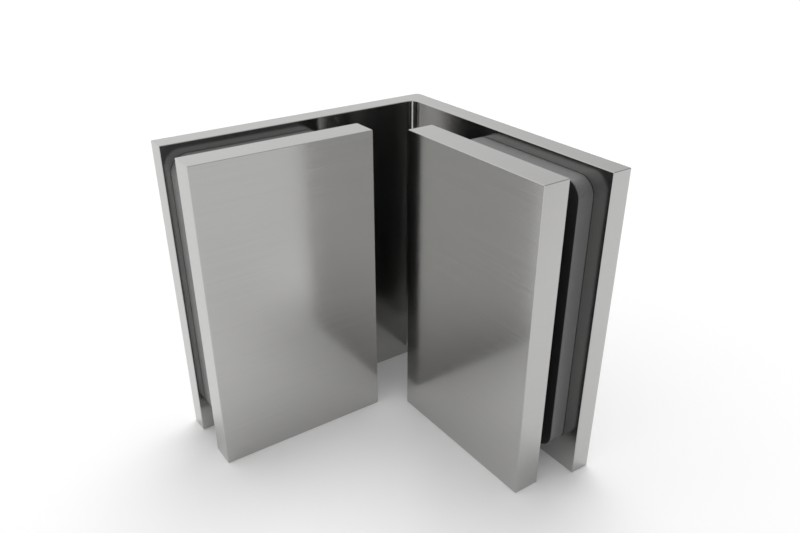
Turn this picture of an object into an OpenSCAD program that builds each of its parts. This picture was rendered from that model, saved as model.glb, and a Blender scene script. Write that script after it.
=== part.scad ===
// Corner connector for two glass panes that meet at a right angle.
// An L-shaped corner plate stands outside the glass. On each leg a clamp plate
// inside the glass is drawn towards it by two countersunk screws.
// Millimetres, +Z up. The origin is the middle of the footprint, at the base.

/* [Corner plate] */
// Height of the corner plate and of both clamp plates
plate_h = 90; // [70:1:140]
// Outside length of each leg
leg_len = 85; // [82:1:120]
// Thickness of the corner plate
corner_t = 6; // [5:0.5:9]
// Radius of the fillet inside the corner
fillet_r = 2.5; // [1:0.5:5]
// Radius of the outside corner
outer_r = 1.5; // [0.8:0.1:3]
// Width of the broken edge on all three plates
edge_break = 0.15; // [0.1:0.05:0.6]

/* [Clamp plates] */
// Width of a clamp plate along its leg
clamp_w = 52; // [40:0.5:56]
// Thickness of a clamp plate
clamp_t = 8; // [7:0.5:11]
// Distance of the left clamp plate from the free end of its leg
left_setback = 0; // [0:0.5:6]
// Distance of the right clamp plate from the free end of its leg
right_setback = 3; // [0:0.5:6]

/* [Glass, spacers and gaskets] */
// Space left for the glass with the screws home
glass_t = 5; // [5:0.5:7]
// Thickness of the spacer on the corner plate
spacer_t = 5; // [2:0.5:7]
// Thickness of the gasket on a clamp plate
gasket_t = 1; // [0.5:0.25:2]
// Inset of spacer and gasket from the clamp plate's free edge
free_inset = 2; // [1:0.5:6]
// Inset of spacer and gasket from the clamp plate's edge near the corner
corner_inset = 5; // [1:0.5:8]
// Inset of spacer and gasket from the top edge, and of the gasket from the bottom edge
end_inset = 3; // [1:0.5:8]
// Inset of the spacer from the bottom edge
foot_inset = 7; // [1:0.5:10]
// Corner radius of spacer and gasket
sheet_r = 5; // [2:0.5:8]

/* [Screws] */
// Height between the two screws of a leg
screw_spacing = 50; // [30:1:60]
// Nominal thread diameter
screw_d = 6; // [5:0.5:8]
// Diameter of the countersunk head
head_d = 12; // [11:0.5:14]
// Depth of the head's face below the face of the corner plate
head_sink = 0.2; // [0.1:0.1:0.6]
// Height of the straight rim of the head
head_rim = 0.3; // [0.2:0.1:0.6]
// Hexagon socket, across flats
socket_af = 4; // [3:0.5:5]
// Depth of the hexagon socket
socket_depth = 2.2; // [1.5:0.1:3]
// Chamfer at the tip of the screw and at the mouth of its threaded hole
tip_chamfer = 0.6; // [0.3:0.1:1]
// Metal left between a threaded hole and the plain face of the clamp plate
front_wall = 1.4; // [1:0.1:2.5]
// Space between the tip of a screw and the bottom of its hole
tip_gap = 0.6; // [0.3:0.1:1.5]

/* [Bushes] */
// Outside diameter of the bush that lines the hole in the glass
bush_d = 12; // [10:0.5:16]
// Chamfer on the edges of the bush
bush_chamfer = 0.4; // [0.2:0.1:0.8]

/* [Clearances] */
// Radial clearance of the thread in its hole
thread_clear = 0.05; // [0.02:0.01:0.1]
// Radial clearance of the shank in the corner plate, spacer and gasket
shank_clear = 0.3; // [0.2:0.05:0.6]
// Radial clearance of the shank in its bush
bush_clear = 0.1; // [0.05:0.05:0.3]
// Radial clearance of the head in its countersink
head_clear = 0.1; // [0.05:0.05:0.3]
// Space between a bush and the gasket with the screws home
bush_gap = 0.3; // [0.2:0.1:0.8]

/* [Hidden] */
$fn = 64;
// Extra length of a cut past the face that it opens on
past = 1;
half = leg_len / 2;
inner_face = half - corner_t;
fillet_mid = inner_face - fillet_r;
outer_mid = half - outer_r;

// Depths below the outside face of a leg, in the order in which a screw passes them
spacer_face = corner_t + spacer_t;
gasket_face = spacer_face + glass_t;
clamp_back = gasket_face + gasket_t;
clamp_front = clamp_back + clamp_t;
tap_bottom = clamp_front - front_wall;
screw_tip = tap_bottom - tip_gap;

shank_r = screw_d / 2 - thread_clear;
hole_r = shank_r + shank_clear;
head_r = head_d / 2;
rim_end = head_sink + head_rim;
sink_r = head_r + head_clear;

screw_u = clamp_w / 2;
upper_z = plate_h / 2 + screw_spacing / 2;
lower_z = plate_h / 2 - screw_spacing / 2;

steel = [0.70, 0.69, 0.68];
spacer_grey = [0.36, 0.36, 0.36];
gasket_grey = [0.55, 0.56, 0.57];
bush_white = [0.90, 0.90, 0.88];

// Frames. Each leg is drawn with +X from its free end to the corner and -Y from its
// outside face to the glass. The right leg is the left one mirrored in the diagonal.

module on_left_leg() {
    translate([-half + left_setback, half, 0]) children();
}

module on_right_leg() {
    mirror([1, -1, 0]) translate([-half + right_setback, half, 0]) children();
}

// Turns +Z into the depth below the outside face, on the screw axis at height z
module on_screw_axis(z) {
    translate([screw_u, 0, z]) rotate([90, 0, 0]) children();
}

// Edges

// Cuts a broken edge along X, centred on the origin
module edge_cut_x(length) {
    rotate([45, 0, 0]) cube([length, edge_break * sqrt(2), edge_break * sqrt(2)], center = true);
}

// Cuts a broken edge along Y, centred on the origin
module edge_cut_y(length) {
    rotate([0, 45, 0]) cube([edge_break * sqrt(2), length, edge_break * sqrt(2)], center = true);
}

// Cuts a broken edge along Z through the full height of a plate
module edge_cut_z(x, y) {
    side = edge_break * sqrt(2);
    translate([x, y, plate_h / 2]) rotate(45) cube([side, side, plate_h + 2 * past], center = true);
}

// Rectangle with its four corners cut off by the broken edge
module broken_rect(w, h) {
    c = edge_break;
    polygon([[c, 0], [w - c, 0], [w, c], [w, h - c], [w - c, h], [c, h], [0, h - c], [0, c]]);
}

// Plate with all twelve edges broken: the common part of its three extruded views
module broken_plate(w, t, h) {
    intersection() {
        linear_extrude(h) broken_rect(w, t);
        translate([0, t, 0]) rotate([90, 0, 0]) linear_extrude(t) broken_rect(w, h);
        rotate([90, 0, 90]) linear_extrude(w) broken_rect(t, h);
    }
}

// Corner plate

// Plan of the L, with the fillet inside and the rounded corner outside
module corner_plan() {
    difference() {
        union() {
            translate([-half, inner_face]) square([leg_len, corner_t]);
            translate([inner_face, -half]) square([corner_t, leg_len]);
            translate([fillet_mid, fillet_mid]) square(fillet_r + past);
        }
        translate([fillet_mid, fillet_mid]) circle(fillet_r);
        difference() {
            translate([outer_mid, outer_mid]) square(outer_r + past);
            translate([outer_mid, outer_mid]) circle(outer_r);
        }
    }
}

// Breaks the straight edges of the L in the plane z
module corner_edge_cuts(z) {
    inner_len = half + fillet_mid;
    inner_mid = (fillet_mid - half) / 2;
    translate([0, half, z]) edge_cut_x(leg_len + 2 * past);
    translate([inner_mid - past / 2, inner_face, z]) edge_cut_x(inner_len + past);
    translate([half - corner_t / 2, -half, z]) edge_cut_x(corner_t + 2 * past);
    translate([half, 0, z]) edge_cut_y(leg_len + 2 * past);
    translate([inner_face, inner_mid - past / 2, z]) edge_cut_y(inner_len + past);
    translate([-half, half - corner_t / 2, z]) edge_cut_y(corner_t + 2 * past);
}

// Breaks the round edges of the L at its top: a cone in the fillet, and all that lies
// outside a cone at the outer corner
module corner_round_cuts() {
    translate([fillet_mid, fillet_mid, plate_h - edge_break])
        cylinder(h = edge_break + past, r1 = fillet_r, r2 = fillet_r + edge_break + past);
    translate([outer_mid, outer_mid, plate_h - edge_break]) difference() {
        cube([outer_r + past, outer_r + past, edge_break + past]);
        cylinder(h = edge_break, r1 = outer_r, r2 = outer_r - edge_break);
    }
}

// Countersunk hole, with +Z the depth below the outside face
module countersunk_hole() {
    rotate_extrude() polygon([
        [0, -past], [sink_r, -past], [sink_r, rim_end],
        [hole_r, rim_end + sink_r - hole_r], [hole_r, corner_t + past], [0, corner_t + past]
    ]);
}

module corner_plate() {
    color(steel) difference() {
        linear_extrude(plate_h) corner_plan();
        corner_edge_cuts(0);
        corner_edge_cuts(plate_h);
        corner_round_cuts();
        translate([0, 0, plate_h]) mirror([0, 0, 1]) corner_round_cuts();
        edge_cut_z(-half, half);
        edge_cut_z(-half, inner_face);
        edge_cut_z(half, -half);
        edge_cut_z(inner_face, -half);
        for (z = [lower_z, upper_z]) {
            on_left_leg() on_screw_axis(z) countersunk_hole();
            on_right_leg() on_screw_axis(z) countersunk_hole();
        }
    }
}

// Clamp plate with two blind threaded holes in its back

module threaded_hole() {
    thread_r = screw_d / 2;
    rotate_extrude() polygon([
        [0, clamp_back - past], [thread_r + tip_chamfer, clamp_back - past],
        [thread_r + tip_chamfer, clamp_back], [thread_r, clamp_back + tip_chamfer],
        [thread_r, tap_bottom], [0, tap_bottom]
    ]);
}

module clamp_plate() {
    color(steel) difference() {
        translate([0, -clamp_front, 0]) broken_plate(clamp_w, clamp_t, plate_h);
        for (z = [lower_z, upper_z]) on_screw_axis(z) threaded_hole();
    }
}

// Spacer and gasket: sheets of two thicknesses, of which the spacer ends higher above the base

// Outline of a sheet that starts at a height above the base
module sheet_outline(bottom) {
    w = clamp_w - free_inset - corner_inset;
    h = plate_h - end_inset - bottom;
    r = sheet_r;
    translate([free_inset, bottom]) {
        translate([r, 0]) square([w - 2 * r, h]);
        translate([0, r]) square([w, h - 2 * r]);
        for (x = [r, w - r], y = [r, h - r]) translate([x, y]) circle(r);
    }
}

// Sheet from a depth inwards, with a hole for each screw
module sheet(from, thickness, bottom) {
    translate([0, -from, 0]) rotate([90, 0, 0]) difference() {
        linear_extrude(thickness) sheet_outline(bottom);
        for (z = [lower_z, upper_z]) {
            translate([screw_u, z, -past]) cylinder(h = thickness + 2 * past, r = hole_r);
        }
    }
}

module spacer() {
    color(spacer_grey) sheet(corner_t, spacer_t, foot_inset);
}

module gasket() {
    color(gasket_grey) sheet(gasket_face, gasket_t, end_inset);
}

// Screw and bush, both turned parts on the screw axis

module screw() {
    color(steel) difference() {
        rotate_extrude() polygon([
            [0, head_sink], [head_r, head_sink], [head_r, rim_end],
            [shank_r, rim_end + head_r - shank_r], [shank_r, screw_tip - tip_chamfer],
            [shank_r - tip_chamfer, screw_tip], [0, screw_tip]
        ]);
        translate([0, 0, head_sink - past])
            cylinder(h = socket_depth + past, r = socket_af / sqrt(3), $fn = 6);
    }
}

module bush() {
    bore_r = shank_r + bush_clear;
    rim_r = bush_d / 2;
    c = bush_chamfer;
    far = gasket_face - bush_gap;
    color(bush_white) rotate_extrude() polygon([
        [bore_r, spacer_face], [rim_r - c, spacer_face], [rim_r, spacer_face + c],
        [rim_r, far - c], [rim_r - c, far], [bore_r, far]
    ]);
}

corner_plate();
on_left_leg() clamp_plate();  // left_clamp_plate
on_right_leg() clamp_plate();  // right_clamp_plate
on_left_leg() spacer();  // left_spacer
on_right_leg() spacer();  // right_spacer
on_left_leg() gasket();  // left_gasket
on_right_leg() gasket();  // right_gasket
on_left_leg() on_screw_axis(upper_z) screw();  // left_upper_screw
on_left_leg() on_screw_axis(lower_z) screw();  // left_lower_screw
on_right_leg() on_screw_axis(upper_z) screw();  // right_upper_screw
on_right_leg() on_screw_axis(lower_z) screw();  // right_lower_screw
on_left_leg() on_screw_axis(upper_z) bush();  // left_upper_bush
on_left_leg() on_screw_axis(lower_z) bush();  // left_lower_bush
on_right_leg() on_screw_axis(upper_z) bush();  // right_upper_bush
on_right_leg() on_screw_axis(lower_z) bush();  // right_lower_bush
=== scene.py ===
# %% [markdown]
# A corner connector for two glass panes, dressed for a studio picture. Solid parts of the fitting come
# from the imported frame, which is loaded first and never moved. Every surface made below sits in the same
# frame, in metres, with +Z up along the corner edge.

# %% Load the frame
import math

import bmesh
import bpy
import mathutils
import numpy as np
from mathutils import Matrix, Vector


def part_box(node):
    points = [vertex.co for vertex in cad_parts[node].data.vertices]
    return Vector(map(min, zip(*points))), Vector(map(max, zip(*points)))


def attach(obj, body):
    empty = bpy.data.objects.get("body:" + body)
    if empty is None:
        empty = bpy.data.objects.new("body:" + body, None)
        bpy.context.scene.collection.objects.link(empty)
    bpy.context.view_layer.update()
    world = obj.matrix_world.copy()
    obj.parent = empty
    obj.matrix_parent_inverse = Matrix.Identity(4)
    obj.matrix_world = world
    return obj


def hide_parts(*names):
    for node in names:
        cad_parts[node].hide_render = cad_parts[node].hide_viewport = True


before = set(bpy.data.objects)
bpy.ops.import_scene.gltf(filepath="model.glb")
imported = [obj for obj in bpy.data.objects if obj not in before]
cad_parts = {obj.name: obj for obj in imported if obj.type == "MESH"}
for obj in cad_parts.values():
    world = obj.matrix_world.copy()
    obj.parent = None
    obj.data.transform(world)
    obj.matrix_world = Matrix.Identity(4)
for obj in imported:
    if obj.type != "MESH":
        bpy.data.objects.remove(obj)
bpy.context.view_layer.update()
MM = 0.001
scene = bpy.context.scene
scene.view_settings.view_transform = "Standard"
print("nodes in the frame:", len(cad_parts))

# %% [markdown]
# The camera stands in front of the open side of the corner, a little above it, and looks down into it.
# Its place and angles were worked out from the plate edges, so that they land on the same pixels as in
# the picture. The optical axis passes a little below the middle of the image, as in a picture cropped
# at the bottom, and the camera's vertical shift stands for that.

# %% Camera
IMAGE_W = 800
SENSOR_W = 36.0
FOCAL_PX = 769.8
AXIS_RIGHT_OF_MIDDLE_PX = 1.75
AXIS_BELOW_MIDDLE_PX = 37.4
CAMERA_PLACE = (-100.06 * MM, -153.15 * MM, 150.04 * MM)
CAMERA_DOWN = math.radians(29.244)
CAMERA_TURN = math.radians(-34.875)
NEAREST_SEEN = 10 * MM

camera_data = bpy.data.cameras.new("studio_camera")
camera_data.sensor_width = SENSOR_W
camera_data.lens = SENSOR_W * FOCAL_PX / IMAGE_W
camera_data.shift_x = -AXIS_RIGHT_OF_MIDDLE_PX / IMAGE_W
camera_data.shift_y = AXIS_BELOW_MIDDLE_PX / IMAGE_W
camera_data.clip_start = NEAREST_SEEN
camera = bpy.data.objects.new("studio_camera", camera_data)
camera.location = CAMERA_PLACE
camera.rotation_euler = (math.radians(90) - CAMERA_DOWN, 0, CAMERA_TURN)
scene.collection.objects.link(camera)
scene.camera = camera
print("lens", round(camera_data.lens, 2), "mm")

# %% [markdown]
# Surfaces in this lesson are grids of points worked out as whole numpy arrays. One helper numbers the
# quads of a grid, one stacks several grids, and one puts them into a mesh. Grids meet in points that
# coincide, and welding those points closes seams, poles and the joins between grids. The sign of the
# enclosed volume then tells whether the faces look outwards. A last helper reads the points of a mesh back.

# %% Grids into meshes
WELD = 0.0005 * MM
SHARP_FROM = math.radians(35)


def grid_quads(rows, columns, closed):
    """Corner numbers of each quad between neighbouring rows and columns, wrapping round where closed."""
    i = np.arange(rows - 1)[:, None]
    j = np.arange(columns if closed else columns - 1)[None, :]
    k = (j + 1) % columns
    corners = [i * columns + j, i * columns + k, (i + 1) * columns + k, (i + 1) * columns + j]
    return np.stack(np.broadcast_arrays(*corners), axis=-1).reshape(-1, 4)


def stack_grids(grids):
    """One array of points and one of faces from several grids, with each grid's numbers moved on."""
    counts = [len(points) for points, faces in grids]
    starts = np.cumsum([0] + counts[:-1])
    points = np.concatenate([points for points, faces in grids])
    faces = np.concatenate([grid[1] + first for first, grid in zip(starts, grids)])
    return points, faces


def put_mesh(name, points, faces):
    """A new object at the origin from points in metres, smooth but for its sharp edges."""
    mesh = bpy.data.meshes.new(name)
    mesh.from_pydata(points.reshape(-1, 3).tolist(), [], faces.tolist())
    solid = bmesh.new()
    solid.from_mesh(mesh)
    bmesh.ops.remove_doubles(solid, verts=solid.verts, dist=WELD)
    if solid.calc_volume(signed=True) < 0:
        bmesh.ops.reverse_faces(solid, faces=solid.faces)
    solid.to_mesh(mesh)
    solid.free()
    mesh.shade_smooth()
    mesh.set_sharp_from_angle(angle=SHARP_FROM)
    thing = bpy.data.objects.new(name, mesh)
    scene.collection.objects.link(thing)
    return thing


def points_of(thing):
    """All points of a mesh, one row of x, y and z for each."""
    places = np.empty(len(thing.data.vertices) * 3)
    thing.data.vertices.foreach_get("co", places)
    return places.reshape(-1, 3)


# %% [markdown]
# Materials are node graphs. A small helper adds a node and sets its inputs, and one gives a fresh material
# with its shader. Two more do sums: an operation on numbers, and how far a vector reaches along a direction.

# %% Node helpers
def add_node(tree, kind, **inputs):
    """Adds a node of a kind and sets the inputs given by name, with spaces written as underscores."""
    node = tree.nodes.new(kind)
    for key, value in inputs.items():
        node.inputs[key.replace("_", " ")].default_value = value
    return node


def new_finish(name):
    """A new material, its node tree and its shader."""
    material = bpy.data.materials.new(name)
    material.use_nodes = True
    tree = material.node_tree
    return material, tree, tree.nodes["Principled BSDF"]


def reckon(tree, operation, *values):
    """The result of an operation on values, each of them a number or the output of a node."""
    node = add_node(tree, "ShaderNodeMath")
    node.operation = operation
    for socket, value in zip(node.inputs, values):
        if isinstance(value, bpy.types.NodeSocket):
            tree.links.new(value, socket)
        else:
            socket.default_value = value
    return node.outputs[0]


def reach_along(tree, vector, way):
    """How far a vector reaches along a direction, which is their dot product."""
    node = add_node(tree, "ShaderNodeVectorMath")
    node.operation = "DOT_PRODUCT"
    node.inputs[1].default_value = way
    tree.links.new(vector, node.inputs[0])
    return node.outputs["Value"]


def dress(thing, finish):
    """Gives an object one finish in place of any other."""
    thing.data.materials.clear()
    thing.data.materials.append(finish)


# %% [markdown]
# Every finish on the part starts from noise, with a scale for each direction. A noise that is much finer
# in one direction than in another is what makes brushed or turned lines. The middle half of a noise is
# then carried to a range of colours and of roughness, and the noise itself to a small bump.

# %% Noise into finishes
GRAIN_ROUGHNESS = 0.6
MIDDLE_HALF = (0.25, 0.75)


def grain(tree, source, per_unit, detail):
    """Noise in the coordinates of a source, with so many lumps to the unit in each direction."""
    mapping = add_node(tree, "ShaderNodeMapping", Scale=per_unit)
    noise = add_node(tree, "ShaderNodeTexNoise", Scale=1.0, Detail=detail, Roughness=GRAIN_ROUGHNESS)
    tree.links.new(source, mapping.inputs["Vector"])
    tree.links.new(mapping.outputs["Vector"], noise.inputs["Vector"])
    return noise.outputs["Fac"]


def spread(tree, value, low, high):
    """The middle half of a noise, carried to the range from low to high."""
    start, end = MIDDLE_HALF
    node = add_node(tree, "ShaderNodeMapRange", From_Min=start, From_Max=end, To_Min=low, To_Max=high)
    tree.links.new(value, node.inputs["Value"])
    return node.outputs["Result"]


def tint(tree, value, dark, pale):
    """A colour that goes from dark to pale over the middle half of a noise."""
    ramp = add_node(tree, "ShaderNodeValToRGB")
    low, high = ramp.color_ramp.elements
    low.position, high.position = MIDDLE_HALF
    low.color, high.color = (*dark, 1), (*pale, 1)
    tree.links.new(value, ramp.inputs["Fac"])
    return ramp.outputs["Color"]


def relief(tree, value, height):
    """A bump of so many metres from a noise, for a shader's normal."""
    bump = add_node(tree, "ShaderNodeBump", Strength=1.0, Distance=height)
    tree.links.new(value, bump.inputs["Height"])
    return bump.outputs["Normal"]


def texture(tree, shader, noise, colours, roughness, height):
    """Lets one noise move a shader's colour and roughness, each over its own range, and its normal."""
    tree.links.new(tint(tree, noise, *colours), shader.inputs["Base Color"])
    tree.links.new(spread(tree, noise, *roughness), shader.inputs["Roughness"])
    tree.links.new(relief(tree, noise, height), shader.inputs["Normal"])


# %% [markdown]
# The ground is a wide sheet of white paper. A disc is a function of angle and radius, with radii that
# grow outwards, so one grid covers the paper from the part to far behind it.

# %% Floor
FLOOR_R = 12.0
FLOOR_RINGS = 24
FLOOR_SPOKES = 96
FLOOR_GROWTH = 3
FLOOR_GAP = 0.02 * MM

turn = np.linspace(0, 2 * np.pi, FLOOR_SPOKES, endpoint=False)
reach = FLOOR_R * np.linspace(0, 1, FLOOR_RINGS) ** FLOOR_GROWTH
paper = np.stack([
    np.outer(reach, np.cos(turn)),
    np.outer(reach, np.sin(turn)),
    np.full((FLOOR_RINGS, FLOOR_SPOKES), -FLOOR_GAP),
], axis=-1)
floor = put_mesh("studio_paper", paper, grid_quads(FLOOR_RINGS, FLOOR_SPOKES, closed=True))
print("paper", 2 * FLOOR_R, "m across")

# %% [markdown]
# The paper takes true shadow from its diffuse shader. A small share of its own white is added for what
# looks at it directly or in a reflection, and lifts the open paper to plain white. In front of the picture
# and to the right, the paper's colour is darkened to pale grey as painted shade, which tones down what the
# left clamp plate mirrors.

# %% Paper
FLOOR_ALBEDO = 0.90
FLOOR_LIFT = 0.08
PAINTED_SHADE_ALBEDO = 0.76
FRONT_WAY = (-0.572, -0.820, 0.0)
FRONT_FADE = (37 * MM, 75 * MM)
RIGHT_WAY = (1.0, 0.0, 0.0)
RIGHT_FADE = (-40 * MM, 10 * MM)


def in_view(tree):
    """One for rays from the camera, a reflection or a see-through body, and nought for others."""
    path = add_node(tree, "ShaderNodeLightPath").outputs
    seen = reckon(tree, "MAXIMUM", path["Is Camera Ray"], path["Is Glossy Ray"])
    return reckon(tree, "MAXIMUM", seen, path["Is Transmission Ray"])


def fade_along(tree, here, way, start, end):
    """Nought up to start and one from end on, measured along a direction, with a smooth rise between."""
    rise = add_node(tree, "ShaderNodeMapRange", From_Min=start, From_Max=end)
    rise.interpolation_type = "SMOOTHSTEP"
    tree.links.new(reach_along(tree, here, way), rise.inputs["Value"])
    return rise.outputs["Result"]


paper_finish, tree, shader = new_finish("white_paper")
tree.nodes.remove(shader)
here = add_node(tree, "ShaderNodeTexCoord").outputs["Object"]
to_front = fade_along(tree, here, FRONT_WAY, *FRONT_FADE)
to_right = fade_along(tree, here, RIGHT_WAY, *RIGHT_FADE)
# The pale grey in front and to the right is painted shade on the paper, not a grey paper.
tone = add_node(tree, "ShaderNodeMapRange", To_Min=FLOOR_ALBEDO, To_Max=PAINTED_SHADE_ALBEDO)
matte = add_node(tree, "ShaderNodeBsdfDiffuse")
glow = add_node(tree, "ShaderNodeEmission")
both = add_node(tree, "ShaderNodeAddShader")
tree.links.new(reckon(tree, "MULTIPLY", to_front, to_right), tone.inputs["Value"])
tree.links.new(tone.outputs["Result"], matte.inputs["Color"])
tree.links.new(reckon(tree, "MULTIPLY", in_view(tree), FLOOR_LIFT), glow.inputs["Strength"])
tree.links.new(matte.outputs[0], both.inputs[0])
tree.links.new(glow.outputs[0], both.inputs[1])
tree.links.new(both.outputs[0], tree.nodes["Material Output"].inputs["Surface"])
dress(floor, paper_finish)
print("paper from", PAINTED_SHADE_ALBEDO, "in front to", FLOOR_ALBEDO, "behind")

# %% [markdown]
# The light is that of a light tent with one large soft box. The tent is a pale dome, brightest low at
# the back and on the left: a level, plus a slope times the cosine of the angle to its bright side, and
# never less than its darkest tone. The soft box hangs above and a little behind the part and looks down
# at it, so that shadow stays close to the plates and gathers inside the corner.

# %% Light
DOME_LEVEL = 0.70
DOME_SLOPE = 0.44
DOME_DARKEST = 0.46
BRIGHT_SIDE = (-0.55, 0.78, 0.20)
BOX_SIZE = 2.0
BOX_DISTANCE = 4.0
BOX_WATTS = 52.0
BOX_SIDE = (0.27, 0.22, 0.94)

world = bpy.data.worlds.new("light_tent")
scene.world = world
world.use_nodes = True
tree = world.node_tree
sky = tree.nodes["Background"]
sky.inputs["Color"].default_value = (1, 1, 1, 1)
look = add_node(tree, "ShaderNodeTexCoord").outputs["Generated"]
slope = reckon(tree, "MULTIPLY_ADD", reach_along(tree, look, BRIGHT_SIDE), DOME_SLOPE, DOME_LEVEL)
tree.links.new(reckon(tree, "MAXIMUM", slope, DOME_DARKEST), sky.inputs["Strength"])

box_data = bpy.data.lights.new("soft_box", "AREA")
box_data.size = BOX_SIZE
box_data.energy = BOX_WATTS
soft_box = bpy.data.objects.new("soft_box", box_data)
box_way = mathutils.Vector(BOX_SIDE).normalized()
soft_box.location = BOX_DISTANCE * box_way
soft_box.rotation_euler = box_way.to_track_quat("Z", "Y").to_euler()
scene.collection.objects.link(soft_box)
print("dome from", DOME_DARKEST, "up, and a soft box of", BOX_SIZE, "m")

# %% [markdown]
# The corner plate and both clamp plates are stainless steel with a fine satin brush. Their shapes come
# from the frame, so they only need a finish. A belt leaves lines along the plate, so the noise runs
# slow along X and Y and fast along Z. It moves roughness and colour a little and cuts a bump of a
# fraction of a thousandth of a millimetre, so the lines show close up and a reflection stays whole.

# %% Satin steel
BRUSH = (30.0, 30.0, 2600.0)
BRUSH_DETAIL = 3.0
BRUSH_DEPTH = 0.0004 * MM
STEEL_DARK = (0.464, 0.460, 0.452)
STEEL_PALE = (0.488, 0.484, 0.476)
STEEL_ROUGHNESS = (0.145, 0.185)

steel_finish, tree, shader = new_finish("satin_steel")
here = add_node(tree, "ShaderNodeTexCoord").outputs["Object"]
lines = grain(tree, here, BRUSH, BRUSH_DETAIL)
shader.inputs["Metallic"].default_value = 1.0
texture(tree, shader, lines, (STEEL_DARK, STEEL_PALE), STEEL_ROUGHNESS, BRUSH_DEPTH)
for name in ("corner_plate", "left_clamp_plate", "right_clamp_plate"):
    dress(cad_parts[name], steel_finish)
print("brushed:", len(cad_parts["corner_plate"].data.polygons), "faces on the corner plate")

# %% [markdown]
# Each leg has its own directions. A screw goes in from the outside face, so "inward" points from there
# to the glass. Round an axis, an angle is counted from straight up and turns right-handed about the
# inward direction, which is the way a right-hand screw goes in.

# %% Directions
UP = np.array([0.0, 0.0, 1.0])
INWARD = {"left": np.array([0.0, -1.0, 0.0]), "right": np.array([-1.0, 0.0, 0.0])}
ALONG = {"left": 0, "right": 1}
ACROSS = {"left": 1, "right": 0}
COLUMNS = 96
full_turn = np.linspace(0, 2 * np.pi, COLUMNS + 1)


def node_mouth(node, side):
    """The point on a turned node's axis where it starts, and its length, from the node's box."""
    low, high = (np.array(corner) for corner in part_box(node))
    mouth = (low + high) / 2
    mouth[ACROSS[side]] = high[ACROSS[side]]
    return mouth, high[ACROSS[side]] - low[ACROSS[side]]


def around_axis(mouth, inward, radius, depth):
    """Rows of points at a radius from an axis and a depth along it, one column for each angle.

    A point is the mouth, plus depth times inward, plus radius times the cosine of the angle straight up
    and the sine of it to the side.
    """
    spoke = np.cos(full_turn)[:, None] * UP + np.sin(full_turn)[:, None] * np.cross(inward, UP)
    rows = mouth + depth[..., None] * inward + radius[..., None] * spoke
    return rows.reshape(-1, 3), grid_quads(len(rows), COLUMNS + 1, closed=False)


# %% [markdown]
# A countersunk head is turned, then a hexagon is pressed into it. Across a hexagon the radius is half
# the width across flats, divided by the cosine of the angle to the nearest flat. A short cone leads the
# key in. It meets the hexagon deeper at the flats than at the corners, which gives the scalloped edge of
# a real socket. The drill that starts the socket leaves a shallow point in its floor.

# %% Screw head
SOCKET_FLATS = 4.0 * MM
SOCKET_DEPTH = 2.2 * MM
LEAD_R = 2.5 * MM
DRILL_R = 1.7 * MM
DRILL_POINT = 0.5 * MM
HEAD_R = 6.0 * MM
HEAD_RIM = 0.3 * MM
HEAD_ROUND = 0.12 * MM
SHANK_R = 2.95 * MM
ROUND_STEPS = 5


def screw_head(thread_start):
    """Radius and depth of the head by row and angle, from the socket's middle out to the plain shank."""
    to_flat = (full_turn + np.pi / 6) % (np.pi / 3) - np.pi / 6
    hexagon = SOCKET_FLATS / 2 / np.cos(to_flat)
    even = np.ones_like(full_turn)
    bend = np.linspace(0, np.pi / 2, ROUND_STEPS)[:, None]
    cone_end = HEAD_RIM + HEAD_R - SHANK_R
    radius = np.vstack([
        0 * even, DRILL_R * even, hexagon,
        hexagon, LEAD_R * even,
        HEAD_R - HEAD_ROUND * (1 - np.sin(bend)) * even,
        HEAD_R * even, SHANK_R * even, SHANK_R * even,
    ])
    depth = np.vstack([
        (SOCKET_DEPTH + DRILL_POINT) * even, SOCKET_DEPTH * even, SOCKET_DEPTH * even,
        LEAD_R - hexagon, 0 * even,
        HEAD_ROUND * (1 - np.cos(bend)) * even,
        HEAD_RIM * even, cone_end * even, thread_start * even,
    ])
    return radius, depth


# %% [markdown]
# The thread is rolled. Its section over one pitch is a flat crest, a flank, a rounded root and a second
# flank. Each row of the grid follows one place of that section along the helix, so its depth grows by a
# pitch in a turn, and the last column falls on the first one a pitch further on. Depths are clipped at
# the first turn and at the tip. The groove fades in over a turn and a half, and a cone cuts the tip.

# %% Screw thread
PITCH = 1.0 * MM
THREAD_START = 4.4 * MM
FADE_TURNS = 1.5
TIP_CHAMFER = 0.6 * MM
TIP_RINGS = 4
PLACE = np.array([0.0, 0.125, 0.4375, 0.5625, 0.6875])
GROOVE = np.array([0.0, 0.0, 0.541, 0.565, 0.541]) * PITCH


def screw_thread(tip):
    """Radius and depth of the thread by row and angle, and of the flat tip that closes it.

    Depth is the pitch times the row's place plus the turned share of a circle, within the two ends.
    Radius is the crest less the groove, and never more than the cone at the tip leaves.
    """
    turns = math.ceil((tip - THREAD_START) / PITCH) + 1
    place = (np.arange(turns)[:, None] + PLACE).ravel()[:, None]
    groove = np.tile(GROOVE, turns)[:, None]
    depth = THREAD_START + PITCH * (place - 1 + full_turn / (2 * np.pi))
    depth = np.clip(np.vstack([depth, np.full_like(full_turn, tip)]), THREAD_START, tip)
    groove = np.vstack([groove, [[0.0]]])
    fade = np.clip((depth - THREAD_START) / (FADE_TURNS * PITCH), 0, 1)
    tip_r = SHANK_R - TIP_CHAMFER
    radius = np.minimum(SHANK_R - groove * fade, tip_r + tip - depth)
    flat = np.linspace(1, 0, TIP_RINGS)[:, None] * tip_r * np.ones_like(full_turn)
    return radius, depth, flat, np.full_like(flat, tip)


# %% [markdown]
# The screws are plain turned stainless steel. A lathe leaves rings, so their noise depends on radius and
# depth alone, which are stored on the points as an attribute in millimetres. The rings make the steel
# rougher than the plates.

# %% Screw steel
RINGS = (14.0, 9.0, 0.0)
RINGS_DETAIL = 3.0
RINGS_DEPTH = 0.002 * MM
SCREW_DARK = (0.50, 0.50, 0.495)
SCREW_PALE = (0.57, 0.57, 0.565)
SCREW_ROUGHNESS = (0.20, 0.32)

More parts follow.
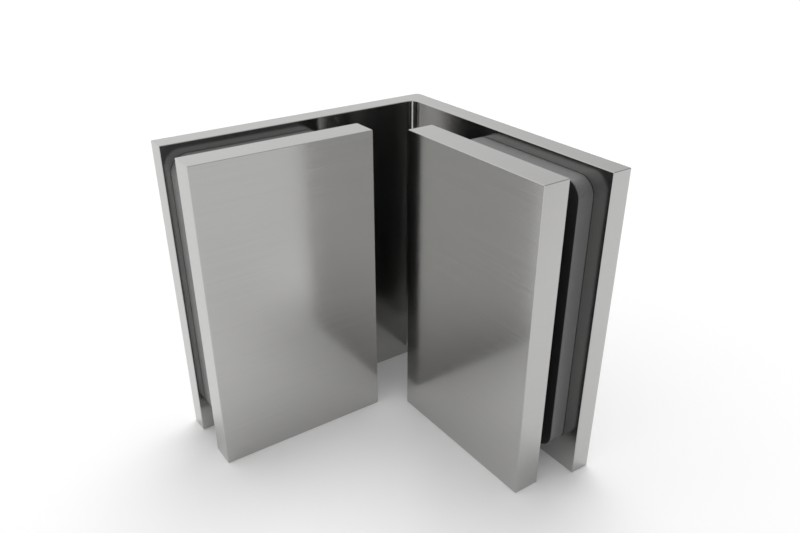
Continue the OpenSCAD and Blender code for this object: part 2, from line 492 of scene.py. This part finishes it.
screw_finish, tree, shader = new_finish("screw_steel")
rings_at = add_node(tree, "ShaderNodeAttribute")
rings_at.attribute_name = "radius_and_depth"
rings = grain(tree, rings_at.outputs["Vector"], RINGS, RINGS_DETAIL)
shader.inputs["Metallic"].default_value = 1.0
texture(tree, shader, rings, (SCREW_DARK, SCREW_PALE), SCREW_ROUGHNESS, RINGS_DEPTH)
print(screw_finish.name, len(tree.nodes), "nodes")

# %% [markdown]
# Head, thread and tip go together into one screw for each of the four axes. Each replaces its solid in
# the frame and rides on that screw's own body, so it turns with it.

# %% Screws
def mark_rings(screw, mouth, inward):
    """Stores each point's distance from the axis and its depth along it, in millimetres."""
    arm = points_of(screw) - mouth
    sunk = arm @ inward
    out = np.linalg.norm(arm - sunk[:, None] * inward, axis=1)
    rings_of = screw.data.attributes.new("radius_and_depth", "FLOAT_VECTOR", "POINT")
    rings_of.data.foreach_set("vector", np.stack([out, sunk, 0 * out], axis=1).ravel() / MM)


for side in ("left", "right"):
    for level in ("upper", "lower"):
        name = f"{side}_{level}_screw"
        mouth, length = node_mouth(name, side)
        radius, depth, flat, flat_depth = screw_thread(length)
        grids = [
            around_axis(mouth, INWARD[side], *screw_head(THREAD_START)),
            around_axis(mouth, INWARD[side], radius, depth),
            around_axis(mouth, INWARD[side], flat, flat_depth),
        ]
        screw = put_mesh(f"{name}_turned", *stack_grids(grids))
        mark_rings(screw, mouth, INWARD[side])
        dress(screw, screw_finish)
        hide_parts(name)
        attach(screw, name)
        print(screw.name, len(screw.data.polygons), "faces")

# %% [markdown]
# Spacer and gasket are sheets with round corners and two holes. Half a sheet is a ring round one hole.
# Its outer edge is half of the rounded outline and the straight middle line, and each point of that edge
# is joined to the point of the hole at the same angle. The other half is made alike and mirrored, and the
# two are welded along the middle line. A rim with small rounds runs along the true outline only.

# %% Half a sheet
SHEET_R = 5.0 * MM
HOLE_R = 3.25 * MM
ARC_POINTS = 13
SIDE_POINTS = 8
TOP_POINTS = 13
MIDDLE_POINTS = 12
FACE_SHARES = np.array([1, 0.6, 0.25, 0])


def half_outline(low, high, middle, top):
    """Outline of a sheet's upper half in length and height, and its outward normals.

    It goes up the right-hand side, round the corner, along the top, round the second corner and down.
    """
    bend = np.linspace(0, np.pi / 2, ARC_POINTS)
    arc = np.stack([np.cos(bend), np.sin(bend)], axis=1)
    arc_left = arc[::-1] * (-1, 1)
    side = np.linspace(middle, top - SHEET_R, SIDE_POINTS + 1)[:-1]
    over = np.linspace(high - SHEET_R, low + SHEET_R, TOP_POINTS + 2)[1:-1]
    edge = np.vstack([
        np.stack([np.full_like(side, high), side], axis=1),
        (high - SHEET_R, top - SHEET_R) + SHEET_R * arc,
        np.stack([over, np.full_like(over, top)], axis=1),
        (low + SHEET_R, top - SHEET_R) + SHEET_R * arc_left,
        np.stack([np.full_like(side, low), side[::-1]], axis=1),
    ])
    rightward = np.tile((1, 0), (SIDE_POINTS, 1))
    upward = np.tile((0, 1), (TOP_POINTS, 1))
    normal = np.vstack([rightward, arc, upward, arc_left, -rightward])
    return edge, normal


def half_sheet(low, high, middle, top, hole, back, front, round_r):
    """Grids of a sheet's upper half as length, depth and height: faces with the bore, then the rim.

    The faces go from the back edge to the hole, through it, and out to the front edge, as shares of the
    way from hole to edge. The rim goes on from there over a quarter round, the side and a second round.
    """
    edge, normal = half_outline(low, high, middle, top)
    inner = edge - round_r * normal
    cut = np.linspace(inner[-1], inner[0], MIDDLE_POINTS + 2)[1:-1]
    loop = np.vstack([inner, cut])
    spoke = loop - hole
    bore = hole + HOLE_R * spoke / np.linalg.norm(spoke, axis=1)[:, None]
    share = np.concatenate([FACE_SHARES, FACE_SHARES[::-1]])[:, None, None]
    flat = bore + share * (loop - bore)
    deep = np.repeat([back, front], len(FACE_SHARES))[:, None] * np.ones(len(loop))
    bend = np.linspace(0, np.pi / 2, ROUND_STEPS)
    out = np.concatenate([np.sin(bend), np.cos(bend)]) - 1
    to_back = np.sign(back - front) * round_r
    sunk = np.concatenate([front + to_back * (1 - np.cos(bend)), back - to_back * (1 - np.sin(bend))])
    rim = edge + round_r * out[:, None, None] * normal
    rim_deep = sunk[:, None] * np.ones(len(edge))
    faces = np.stack([flat[..., 0], deep, flat[..., 1]], axis=-1)
    sides = np.stack([rim[..., 0], rim_deep, rim[..., 1]], axis=-1)
    return [
        (faces.reshape(-1, 3), grid_quads(len(faces), len(loop), closed=True)),
        (sides.reshape(-1, 3), grid_quads(len(sides), len(edge), closed=False)),
    ]


# %% [markdown]
# The mirror between the two halves lies midway between the screws, and the sheet needn't be as long below
# it as above. So the lower half is worked out as an upper half whose edge is as far above the mirror as the
# sheet's lower edge is below it, and then turned over. Points between the two faces are marked, so that the
# edge can be painted paler as painted light.

# %% Whole sheets
SKIN = 0.01 * MM


def mark_painted_light_edge(sheet, across, low, high):
    """Stores one on the points that lie deeper than a thin skin below both faces, and nought on others."""
    deep = points_of(sheet)[:, across]
    between = (deep > low + SKIN) & (deep < high - SKIN)
    painted_light_edge = sheet.data.attributes.new("painted_light_edge", "FLOAT", "POINT")
    painted_light_edge.data.foreach_set("value", between.astype(np.float32))


def put_sheet(name, side, round_r):
    """A whole sheet in the place of a node: an upper half, and the mirror image of another, welded."""
    low, high = (np.array(corner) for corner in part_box(name))
    a, c = ALONG[side], ACROSS[side]
    upper, lower = (node_mouth(f"{side}_{level}_screw", side)[0] for level in ("upper", "lower"))
    middle = (upper[2] + lower[2]) / 2
    grids = []
    for top, flip in ((high[2], 1), (2 * middle - low[2], -1)):
        half = half_sheet(low[a], high[a], middle, top, upper[[a, 2]], high[c], low[c], round_r)
        for points, faces in half:
            grids.append((points * (1, 1, flip) + (0, 0, (1 - flip) * middle), faces[:, ::flip]))
    points, faces = stack_grids(grids)
    order = [0, 1, 2] if side == "left" else [1, 0, 2]
    sheet = put_mesh(f"{name}_sheet", points[:, order], faces)
    mark_painted_light_edge(sheet, c, low[c], high[c])
    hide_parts(name)
    return sheet


# %% [markdown]
# The spacers are punched from dark rubber sheet, almost black. Their edge is painted greyer, as painted
# light for the light the edges catch, so the colour is mixed by the mark on the edge points. Faces and edge
# have fine pores and a dull sheen, so the bump is fine and even, and the roughness moves over patches of a
# few millimetres.

# %% Spacer rubber
PORES = (3200.0, 3200.0, 3200.0)
PORES_DETAIL = 2.0
PORES_DEPTH = 0.012 * MM
PATCHES = (260.0, 260.0, 260.0)
PATCHES_DETAIL = 3.0
SKIN_DARK = (0.018, 0.018, 0.018)
SKIN_PALE = (0.030, 0.030, 0.030)
LIT_EDGE_DARK = (0.095, 0.095, 0.095)
LIT_EDGE_PALE = (0.165, 0.165, 0.165)
RUBBER_ROUGHNESS = (0.36, 0.44)
RUBBER_IOR = 1.6

rubber_finish, tree, shader = new_finish("spacer_rubber")
here = add_node(tree, "ShaderNodeTexCoord").outputs["Object"]
pores = grain(tree, here, PORES, PORES_DETAIL)
patches = grain(tree, here, PATCHES, PATCHES_DETAIL)
painted_light_edge_at = add_node(tree, "ShaderNodeAttribute")
painted_light_edge_at.attribute_name = "painted_light_edge"
skin_or_lit_edge = add_node(tree, "ShaderNodeMixRGB")
tree.links.new(painted_light_edge_at.outputs["Fac"], skin_or_lit_edge.inputs["Fac"])
tree.links.new(tint(tree, pores, SKIN_DARK, SKIN_PALE), skin_or_lit_edge.inputs["Color1"])
# The paler edge colour is painted light, standing in for the light the spacer's edges catch.
tree.links.new(tint(tree, pores, LIT_EDGE_DARK, LIT_EDGE_PALE), skin_or_lit_edge.inputs["Color2"])
shader.inputs["IOR"].default_value = RUBBER_IOR
tree.links.new(skin_or_lit_edge.outputs["Color"], shader.inputs["Base Color"])
tree.links.new(spread(tree, patches, *RUBBER_ROUGHNESS), shader.inputs["Roughness"])
tree.links.new(relief(tree, pores, PORES_DEPTH), shader.inputs["Normal"])
print(rubber_finish.name, len(tree.nodes), "nodes")

# %% [markdown]
# The gaskets are cut from a thinner sheet, with a faint calendered streak along its length. A spacer stays
# on the corner plate, and a gasket goes with its clamp plate.

# %% Spacers and gaskets
STREAKS = (500.0, 500.0, 2500.0)
STREAKS_DETAIL = 2.0
STREAKS_DEPTH = 0.006 * MM
GASKET_DARK = (0.062, 0.064, 0.067)
GASKET_PALE = (0.082, 0.084, 0.087)
GASKET_ROUGHNESS = (0.50, 0.62)
SPACER_ROUND = 0.30 * MM
GASKET_ROUND = 0.12 * MM

gasket_finish, tree, shader = new_finish("gasket_sheet")
here = add_node(tree, "ShaderNodeTexCoord").outputs["Object"]
streaks = grain(tree, here, STREAKS, STREAKS_DETAIL)
texture(tree, shader, streaks, (GASKET_DARK, GASKET_PALE), GASKET_ROUGHNESS, STREAKS_DEPTH)

for side in ("left", "right"):
    spacer = put_sheet(f"{side}_spacer", side, SPACER_ROUND)
    dress(spacer, rubber_finish)
    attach(spacer, "corner")
    gasket = put_sheet(f"{side}_gasket", side, GASKET_ROUND)
    dress(gasket, gasket_finish)
    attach(gasket, f"{side}_clamp")
    print(spacer.name, len(spacer.data.polygons), gasket.name, len(gasket.data.polygons), "faces")

# %% [markdown]
# A bush is a short nylon ring that keeps the screw off the edge of the hole in the glass. Nylon is milky,
# so a little light is let in below its surface, and a slow noise clouds its colour.

# %% Bush nylon
CLOUD = (420.0, 420.0, 420.0)
CLOUD_DETAIL = 3.0
CLOUD_DEPTH = 0.01 * MM
NYLON_DARK = (0.58, 0.57, 0.53)
NYLON_PALE = (0.64, 0.63, 0.59)
NYLON_ROUGHNESS = (0.38, 0.50)
MILKY_SHARE = 0.2
MILKY_REACH = (1.0, 0.9, 0.8)
MILKY_DEPTH = 0.8 * MM

nylon_finish, tree, shader = new_finish("bush_nylon")
here = add_node(tree, "ShaderNodeTexCoord").outputs["Object"]
cloud = grain(tree, here, CLOUD, CLOUD_DETAIL)
shader.inputs["Subsurface Weight"].default_value = MILKY_SHARE
shader.inputs["Subsurface Radius"].default_value = MILKY_REACH
shader.inputs["Subsurface Scale"].default_value = MILKY_DEPTH
texture(tree, shader, cloud, (NYLON_DARK, NYLON_PALE), NYLON_ROUGHNESS, CLOUD_DEPTH)
print(nylon_finish.name, len(tree.nodes), "nodes")

# %% [markdown]
# The ring is a closed profile carried round the screw's axis: out along the near end, over a round, along
# the side, over a second round and back through the bore, which is broken at both ends.

# %% Bushes
BORE_R = 3.05 * MM
BORE_BREAK = 0.20 * MM
BUSH_ROUND = 0.40 * MM
BUSH_STEPS = 6


def bush_profile(outer_r, length):
    """Radius and depth along the closed profile of a bush, starting in the bore at the near end."""
    bend = np.linspace(0, np.pi / 2, BUSH_STEPS)
    break_r = BORE_R + BORE_BREAK
    round_out = outer_r - BUSH_ROUND * (1 - np.sin(bend))
    round_deep = BUSH_ROUND * (1 - np.cos(bend))
    radius = np.concatenate([
        [BORE_R, break_r], round_out, round_out[::-1], [break_r, BORE_R, BORE_R],
    ])
    depth = np.concatenate([
        [BORE_BREAK, 0], round_deep, length - round_deep[::-1], [length, length - BORE_BREAK, BORE_BREAK],
    ])
    return radius, depth


even = np.ones((1, COLUMNS + 1))
for side in ("left", "right"):
    for level in ("upper", "lower"):
        name = f"{side}_{level}_bush"
        mouth, length = node_mouth(name, side)
        low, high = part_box(name)
        radius, depth = bush_profile((high[2] - low[2]) / 2, length)
        grid = around_axis(mouth, INWARD[side], radius[:, None] * even, depth[:, None] * even)
        bush = put_mesh(f"{name}_ring", *grid)
        dress(bush, nylon_finish)
        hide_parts(name)
        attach(bush, "corner")
        print(bush.name, len(bush.data.polygons), "faces")
